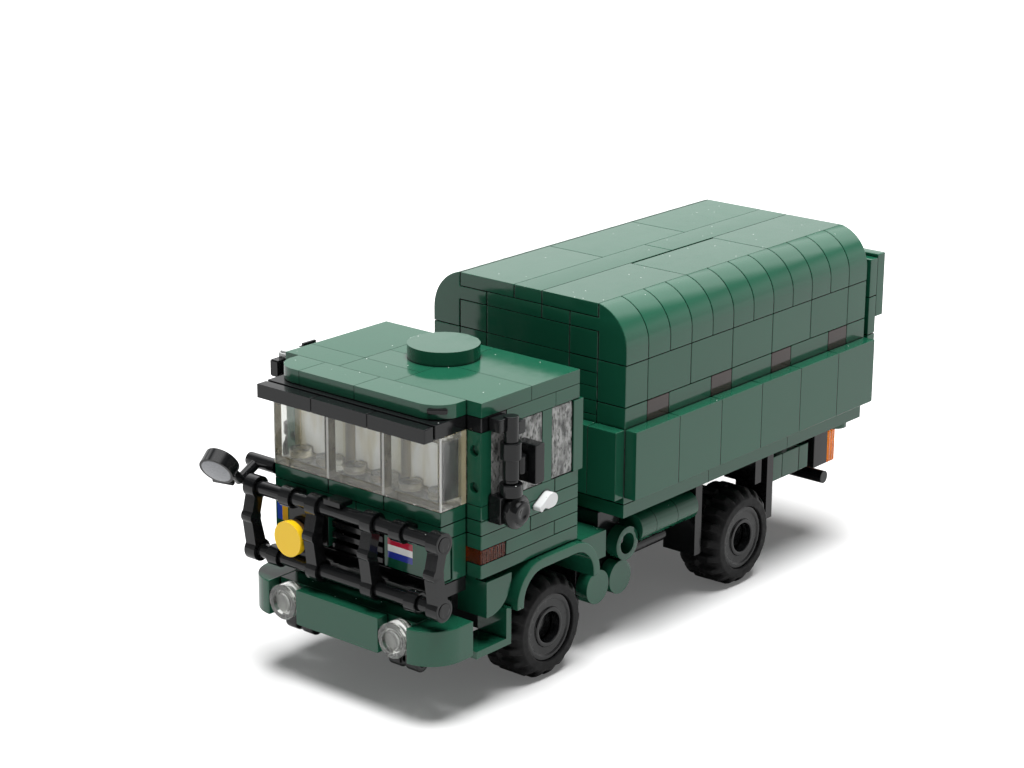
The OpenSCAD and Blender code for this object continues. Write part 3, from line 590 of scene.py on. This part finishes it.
def door_levers():
    """Both levers, drawn in towards their middle, as they are slimmer than their solids."""
    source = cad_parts["door_handles"]
    work = bmesh.new()
    work.from_mesh(source.data)
    work.transform(source.matrix_world)
    bmesh.ops.remove_doubles(work, verts=work.verts[:], dist=JOINED)
    low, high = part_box("door_handles")
    middle = (low + high) / 2
    for vert in work.verts:
        vert.co.x = middle.x + LEVER_SLIM[0] * (vert.co.x - middle.x)
        vert.co.z = middle.z + LEVER_SLIM[1] * (vert.co.z - middle.z) + LEVER_LIFT
    for face in work.faces:
        face.smooth = True
    mesh = bpy.data.meshes.new("door_levers")
    work.to_mesh(mesh)
    work.free()
    mesh.materials.append(moulded_plastic("white lever plastic", LEVER_SHADE, tint=0.02))
    piece = bpy.data.objects.new("door_levers", mesh)
    bpy.context.collection.objects.link(piece)
    soften(piece, LEVER_EDGE, 3)
    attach(piece, "truck")
    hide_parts("door_handles")


door_levers()

# Load bed: green plates for the floor and sills, with square tiles standing as side boards.
# Tailgate and rear flap are plates and tiles, fixed to the bed's end.
finish_nodes(["bed_floor", "side_board_left", "side_board_right", "front_board", "tailgate", "rear_flap"],
             green_plastic)

# Load cover: courses of green bricks with some brown ones, curved shoulders and a tiled roof.
# Like the rest, the pieces only clutch each other, so each one shows its own seam.
BROWN_SHADE = "#33241f"
finish_nodes(["cover_walls", "cover_shoulder_left", "cover_shoulder_right", "cover_roof", "cover_front_wall",
              "cover_rear_wall"], green_plastic)
finish_nodes(["cover_brown_bricks"], moulded_plastic("brown moulded plastic", BROWN_SHADE))

# Under the bed: round tanks, discs, tool boxes, mud flaps, tail lamps and a bar at the rear.
# They hang from plates below the bed.
TAIL_SHADE = "#ff9512"
finish_nodes(["side_tanks", "side_discs", "tool_boxes"], green_plastic)
finish_nodes(["mud_flaps", "lamp_housings", "rear_bar"], black_plastic)
# The tail lamps get a faint painted glow, which stands in for light shining through them from behind.
finish_nodes(["tail_lamps"], ribbed_lens("clear orange tail lamp", TAIL_SHADE, 0.6, 0.05))

# Studio: a white table under one wide overhead light, before a white sweep that stands behind the truck.
# The room on the near side is dim, so gloss there shows dark, and a weak light from it lifts the nose.
# In the gloss a bright band stands above the sweep, and the ceiling shines straight overhead.
FLOOR_REACH = 6.0
FLOOR_SEEN = 0.7
FLOOR_BOUNCE = 0.46
FLOOR_LIFT = 0.1
AMBIENT = 0.12
ROOM_DIM = 0.16
BEHIND_TRUCK = (-0.766, -0.643, 0)
SWEEP_SIDES = (-0.25, 0.35)
SWEEP_FADE = (0.25, 0.4)
SWEEP_HIGH = 0.35
SWEEP_TOP = (0.42, 0.62)
BAND_GLOSS = 1.7
BAND_FOOT = (0.4, 0.5)
BAND_TOP = (0.68, 0.8)
BAND_SIDES = (0.3, 0.5)
CEILING_GLOSS = 2.5
CEILING_EDGE = (0.8, 0.95)
OVERHEAD_POWER = 7.0
OVERHEAD_WIDE = 42
OVERHEAD_WAY = (0.02, -0.02, -1.0)
FILL_POWER = 0.08
FILL_WIDE = 90
FILL_WAY = (-0.75, -0.45, -0.4)
floor_mesh = bpy.data.meshes.new("studio floor")
floor_corners = [(x * FLOOR_REACH, y * FLOOR_REACH, 0) for x, y in ((-1, -1), (1, -1), (1, 1), (-1, 1))]
floor_mesh.from_pydata(floor_corners, [], [(0, 1, 2, 3)])
floor = bpy.data.objects.new("studio_floor", floor_mesh)
bpy.context.collection.objects.link(floor)
floor_white, floor_skin = new_material("studio white")
floor_skin.inputs["Roughness"].default_value = 1.0
floor_skin.inputs["Specular IOR Level"].default_value = 0.0
ray = floor_white.node_tree.nodes.new("ShaderNodeLightPath")
wire(floor_white, spread(floor_white, ray.outputs["Is Camera Ray"], FLOOR_BOUNCE, FLOOR_SEEN, 0.0, 1.0),
     floor_skin.inputs["Base Color"])
floor_skin.inputs["Emission Color"].default_value = [1, 1, 1, 1]
wire(floor_white, spread(floor_white, ray.outputs["Is Camera Ray"], 0.0, FLOOR_LIFT, 0.0, 1.0),
     floor_skin.inputs["Emission Strength"])
floor_mesh.materials.append(floor_white)

world = bpy.data.worlds.new("white sweep")
bpy.context.scene.world = world
world.use_nodes = True
sky = world.node_tree.nodes["Background"]
sky.inputs["Color"].default_value = [1, 1, 1, 1]
ray = world.node_tree.nodes.new("ShaderNodeLightPath")
way = world.node_tree.nodes.new("ShaderNodeTexCoord")
behind = world.node_tree.nodes.new("ShaderNodeVectorMath")
behind.operation = "DOT_PRODUCT"
behind.inputs[1].default_value = BEHIND_TRUCK
wire(world, way.outputs["Generated"], behind.inputs[0])
height = world.node_tree.nodes.new("ShaderNodeSeparateXYZ")
wire(world, way.outputs["Generated"], height.inputs[0])
sweep = work_out(world, "MULTIPLY", spread(world, behind.outputs["Value"], 0.0, 1.0, *SWEEP_SIDES),
                 spread(world, height.outputs["Z"], 1.0, SWEEP_HIGH, *SWEEP_FADE))
below_band = work_out(world, "MULTIPLY", sweep, spread(world, height.outputs["Z"], 1.0, 0.0, *SWEEP_TOP))
band = work_out(world, "MULTIPLY", spread(world, height.outputs["Z"], 0.0, BAND_GLOSS, *BAND_FOOT),
                spread(world, height.outputs["Z"], 1.0, 0.0, *BAND_TOP))
back_band = work_out(world, "MULTIPLY", band, spread(world, behind.outputs["Value"], 0.0, 1.0, *BAND_SIDES))
ceiling = spread(world, height.outputs["Z"], 0.0, CEILING_GLOSS, *CEILING_EDGE)
gloss_view = work_out(world, "ADD", work_out(world, "MAXIMUM", below_band, back_band),
                      work_out(world, "ADD", ceiling, ROOM_DIM))
clear_view = work_out(world, "MAXIMUM", ray.outputs["Is Camera Ray"], ray.outputs["Is Transmission Ray"])
not_gloss = work_out(world, "SUBTRACT", 1.0, ray.outputs["Is Glossy Ray"])
lit = work_out(world, "ADD", work_out(world, "MULTIPLY", ray.outputs["Is Glossy Ray"], gloss_view),
               work_out(world, "MULTIPLY", not_gloss, AMBIENT))
wire(world, work_out(world, "MAXIMUM", lit, clear_view), sky.inputs["Strength"])


def soft_light(name, power, spread_deg, toward):
    """A wide light from far off that isn't seen in gloss."""
    data = bpy.data.lights.new(name, "SUN")
    data.energy = power
    data.angle = radians(spread_deg)
    made = bpy.data.objects.new(name, data)
    made.rotation_euler = Vector(toward).to_track_quat("-Z", "Y").to_euler()
    made.visible_glossy = False
    bpy.context.collection.objects.link(made)


soft_light("overhead_light", OVERHEAD_POWER, OVERHEAD_WIDE, OVERHEAD_WAY)
soft_light("near_fill", FILL_POWER, FILL_WIDE, FILL_WAY)

# Camera: at the photograph's place, ahead and to the left of the truck, a little above it.
# Its bearing, height, lean and focal length follow from the bricks' known grid.
BEARING = radians(40.07)
RISE = radians(17.41)
LEAN = radians(-0.346)
SPOT = Vector((434.39, 346.92, 225.88)) * MM
SENSOR_WIDE = 36.0
FOCAL_LENGTH = 89.07
NEAREST = 0.01
look = -Vector((cos(BEARING) * cos(RISE), sin(BEARING) * cos(RISE), sin(RISE)))
level = Vector((-sin(BEARING), cos(BEARING), 0))
down = look.cross(level)
right = level * cos(LEAN) + down * sin(LEAN)
up = level * sin(LEAN) - down * cos(LEAN)
lens = bpy.data.cameras.new("photo_camera")
lens.sensor_width = SENSOR_WIDE
lens.lens = FOCAL_LENGTH
lens.clip_start = NEAREST
camera = bpy.data.objects.new("photo_camera", lens)
camera.matrix_world = Matrix.Translation(SPOT) @ Matrix((right, up, -look)).transposed().to_4x4()
bpy.context.collection.objects.link(camera)
bpy.context.scene.camera = camera
bpy.context.scene.view_settings.view_transform = "Standard"

bpy.context.view_layer.update()
